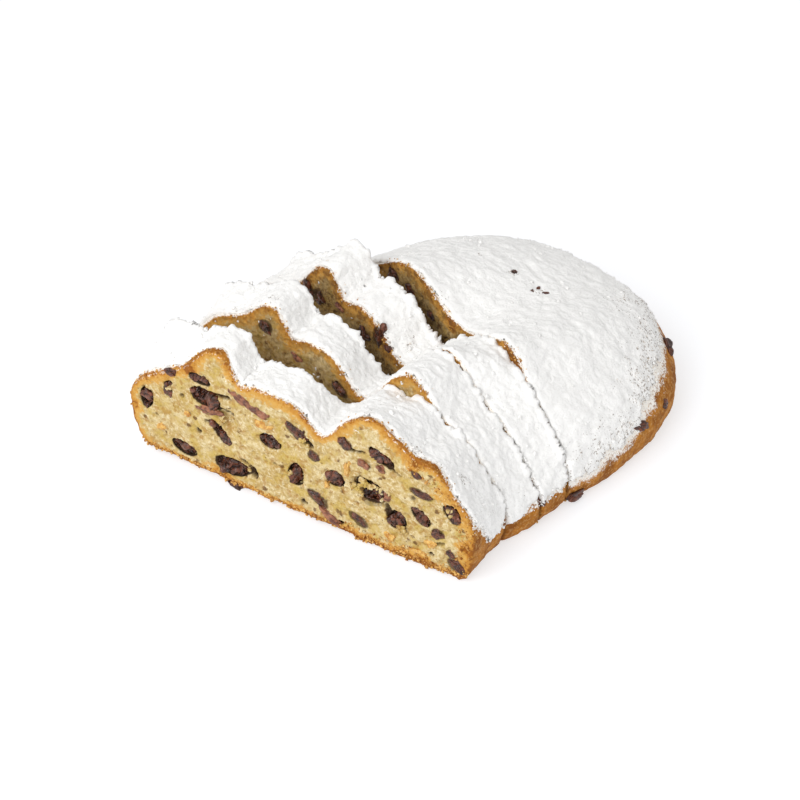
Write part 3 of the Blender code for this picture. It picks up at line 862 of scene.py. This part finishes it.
# Painted shade: the skin is darkened in its creases.
skin = add(raisin, "ShaderNodeMix", MIX, i0=crease, i6=skin, i7=linear("#1E0D07")).outputs[2]
rough = add(raisin, "ShaderNodeTexNoise", Vector=coordinates, Scale=1 / (0.9 * MM)).outputs["Fac"]
bump = add(raisin, "ShaderNodeBump", Height=rough, Strength=0.6, Distance=0.5 * MM)
raisin.node_tree.links.new(skin, shader.inputs["Base Color"])
raisin.node_tree.links.new(bump.outputs["Normal"], shader.inputs["Normal"])


def wrinkle(points, directions, size, seed):
    """Points creased and dented like dried fruit of that size, and how deep each lies."""
    dents = 0.15 * lumps(points, 0.42 * size, seed)
    folds = np.abs(lumps(points, 0.20 * size, seed + 1))
    creased = 1.0 - ease(folds, 0.0, 0.30)
    return points + directions * ((dents - 0.07 * creased) * size)[:, None], 0.8 * creased


for seed, node in enumerate(RAISIN_NODES):
    piece = copy_of(node, "fruit_" + node)
    work(piece, "REMESH", mode="VOXEL", voxel_size=RAISIN_GRID, use_smooth_shade=True)
    low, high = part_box(node)
    length = (high - low).length
    points = read(piece, "co")
    shrunk = np.clip(0.3 + 1.2 * lumps(points, 0.30 * length, 340 + seed), 0.0, 1.0)
    points = points - read(piece, "normal") * (RAISIN_SHRINK * length * shrunk)[:, None]
    points, creased = wrinkle(points, read(piece, "normal"), 0.8 * length, 300 + seed)
    move_to(piece, points)
    # How deep each crease lies, for the painted shade in it.
    paint(piece, "crease", creased)
    bpy.ops.object.shade_smooth()
    piece.data.materials.append(raisin)
    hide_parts(node)
    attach(piece, "root")


# ---- Further fruit ---------------------------------------------------------------------
# Smaller raisins, strips of their torn skins, and candied orange and lemon peel, cut
# through in the crumb; raisins baked into the crust peep out of the heel's side, its
# sugar and the slices' ends.  Pale bits of crumb still stick in the hollows.

# Raisins in the crust: x, y, z, half-length, half-width, how proud, in mm, and tilt.
CRUST_RAISINS = (
    (40.0, 88.5, 19.2, 4.0, 3.4, 1.7, 20.0),
    (67.4, 50.5, 16.6, 4.2, 3.2, 1.3, -30.0),
    (62.0, 67.3, 15.0, 2.2, 1.7, 0.9, 0.0),
    (72.0, 16.0, 2.8, 4.2, 2.2, 1.8, 0.0),
    (71.0, -2.5, 12.6, 3.4, 2.2, 1.0, 0.0),
    (71.0, -5.4, 4.6, 2.4, 2.0, 0.9, 0.0),
    (4.6, 48.0, 42.0, 2.2, 0.9, 0.9, 10.0),
    (7.6, 51.4, 42.0, 1.9, 0.8, 0.9, 70.0),
    (3.4, 52.0, 42.0, 1.4, 0.7, 0.8, -50.0),
    (-8.6, 49.3, 43.0, 1.8, 1.2, 1.0, 0.0),
)

# Skin pulled off the flesh of soaked raisins: thin, reddish where light comes through.
torn_skin, shader, coordinates = new_material("raisin_skin_torn", Roughness=0.4)
mottle(torn_skin, shader, coordinates, 1.8, 3.0, 0.12, "#5A2C1A", "#A0684A")

# Orange and lemon peel boiled in sugar: glossy and golden, with deeper orange spots.
peel, shader, coordinates = new_material("candied_peel", Roughness=0.35)
mottle(peel, shader, coordinates, 1.6, 3.0, 0.12, "#B67B2C", "#E0B560")

FRUIT_DETAIL = 5
FLATNESS = 0.8                   # a fruit is this much thinner than it is wide
CUT_FRUIT_SPREAD = 1.12          # fruit swells over the edge of its hole by this much
CUT_FRUIT_PROUD = 0.95           # and stands this far out of the cut, in millimetres
fruit_points, fruit_faces = sphere(FRUIT_DETAIL)


def put_fruit(heap, middle, facing, across, half_length, half_width, tilt, proud, seed):
    """Put a dried fruit on a surface, most of it sunk in, its length along the surface."""
    upward = facing.cross(across)
    turn = math.radians(tilt)
    along = across * math.cos(turn) + upward * math.sin(turn)
    beside = upward * math.cos(turn) - across * math.sin(turn)
    sides = np.array([along, beside, facing])
    half_depth = FLATNESS * half_width
    uneven = fruit_points * (1.0 + 0.30 * lumps(fruit_points, 0.8, seed + 7))[:, None]
    wrinkled, creased = wrinkle(uneven, fruit_points, 2.0, seed)
    shaped = wrinkled * (np.array([half_length, half_width, half_depth]) * MM)
    centre = np.array(middle + facing * (proud - half_depth) * MM)
    heap.put(centre + shaped @ sides, fruit_faces, crease=creased)


heaps = {"raisin": Heap(), "skin": Heap(), "peel": Heap()}
for seed, (node, kind, across, up, half_length, half_width, tilt) in enumerate(CUT_FRUIT):
    cut = cuts[node]
    put_fruit(heaps[kind], cut.place(across, up), cut.facing, cut.across,
              CUT_FRUIT_SPREAD * half_length, CUT_FRUIT_SPREAD * half_width, tilt,
              CUT_FRUIT_PROUD, 500 + seed)
trees = [tree_of(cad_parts[node].data, lambda face: True) for node in BREAD_GRID]
for seed, (x, y, z, half_length, half_width, proud, tilt) in enumerate(CRUST_RAISINS):
    hits = [tree.find_nearest(Vector((x, y, z)) * MM) for tree in trees]
    place, facing = min(hits, key=lambda hit: hit[3])[:2]
    across = Vector((-facing.y, facing.x, 0.0)).normalized()
    put_fruit(heaps["raisin"], place, facing, across, half_length, half_width, tilt, proud, 600 + seed)
heaps["raisin"].piece("further_raisins", raisin)
heaps["skin"].piece("torn_raisin_skins", torn_skin)
heaps["peel"].piece("candied_peel", peel)

# Bits of crumb in the hollows: across, height, spread, in mm, and how many.
STUCK_CRUMBS = (
    (-29.5, 33.0, 3.0, 10), (32.2, 27.8, 4.4, 260), (0.6, 20.4, 2.4, 40), (46.4, 15.0, 2.0, 24),
    (-20.6, 12.2, 1.8, 10), (5.4, 39.4, 1.8, 8), (-54.6, 36.6, 0.9, 5), (65.6, 32.0, 1.2, 4),
)
STUCK_SIDEWAYS, STUCK_UPWARD = 0.55, 0.38
stuck = Heap()
cut = cuts["slice_1"]
for across, up, spread, count in STUCK_CRUMBS:
    for _ in range(count):
        sideways = random.gauss(0, STUCK_SIDEWAYS) * spread
        upward = random.gauss(0, STUCK_UPWARD) * spread
        spot = cut.over(across + sideways, up + upward, random.uniform(0.0, 0.9))
        size = random.uniform(0.30, 0.85) * MM
        shape = random.choice(grain_shapes) * size
        stuck.put(np.array(spot) + shape, ball_faces,
                  from_crust=20.0, outside=0.0, dusted=0.0, inner=0.0, syrup=0.0, golden=0.0)
stuck.piece("stuck_crumbs", bread)


# ---- The table, the light and the camera -----------------------------------------------
# A white table in a light tent: even light from all round, with a large soft lamp high
# in front of the cuts.  The camera looks down on the foremost one from the front right.

AIM = Vector((8.4 * MM, -19.0 * MM, 25.0 * MM))
VIEW_AZIMUTH = math.radians(53.0)
VIEW_ELEVATION = math.radians(41.0)
VIEW_DISTANCE = 0.800
LENS = 95.85
TABLE_SIZE = 6.0
TABLE_GAP = 0.1 * MM             # between the table and the loaf's base
TENT_LIGHT = 0.70
LAMP_PLACE = Vector((0.20, -0.80, 0.80))
LAMP_SIZE = 0.8
LAMP_POWER = 8.2

deselect()
bpy.ops.mesh.primitive_plane_add(size=TABLE_SIZE, location=(0.0, 0.0, -TABLE_GAP))
floor = bpy.context.active_object
floor.name = "table_top"
# Matt white card, lit through from below, so that it stays white and only the shadow
# close to the loaf shows on it.
table, shader, coordinates = new_material(
    "white_table", Base_Color=linear("#B4B6BA"), Roughness=0.9, Specular_IOR_Level=0.0,
    Emission_Color=(1.0, 1.0, 1.0, 1.0), Emission_Strength=0.60,
)
floor.data.materials.append(table)
floor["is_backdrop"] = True

world = bpy.data.worlds.new("light_tent")
world.use_nodes = True
world.node_tree.nodes["Background"].inputs["Color"].default_value = (1.0, 1.0, 1.0, 1.0)
world.node_tree.nodes["Background"].inputs["Strength"].default_value = TENT_LIGHT
bpy.context.scene.world = world

light = bpy.data.lights.new("front_lamp", "AREA")
light.size = LAMP_SIZE
light.energy = LAMP_POWER
lamp = bpy.data.objects.new("front_lamp", light)
lamp.location = LAMP_PLACE
lamp.rotation_euler = (AIM - LAMP_PLACE).to_track_quat("-Z", "Y").to_euler()
bpy.context.scene.collection.objects.link(lamp)

camera = bpy.data.objects.new("camera", bpy.data.cameras.new("camera"))
bpy.context.scene.collection.objects.link(camera)
camera.data.lens = LENS
camera.data.sensor_width = 36.0
backward = Vector((
    math.sin(VIEW_AZIMUTH) * math.cos(VIEW_ELEVATION),
    -math.cos(VIEW_AZIMUTH) * math.cos(VIEW_ELEVATION),
    math.sin(VIEW_ELEVATION),
))
camera.location = AIM + backward * VIEW_DISTANCE
camera.rotation_euler = backward.to_track_quat("Z", "Y").to_euler()
bpy.context.scene.camera = camera
bpy.context.scene.view_settings.view_transform = "Standard"

low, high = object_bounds()
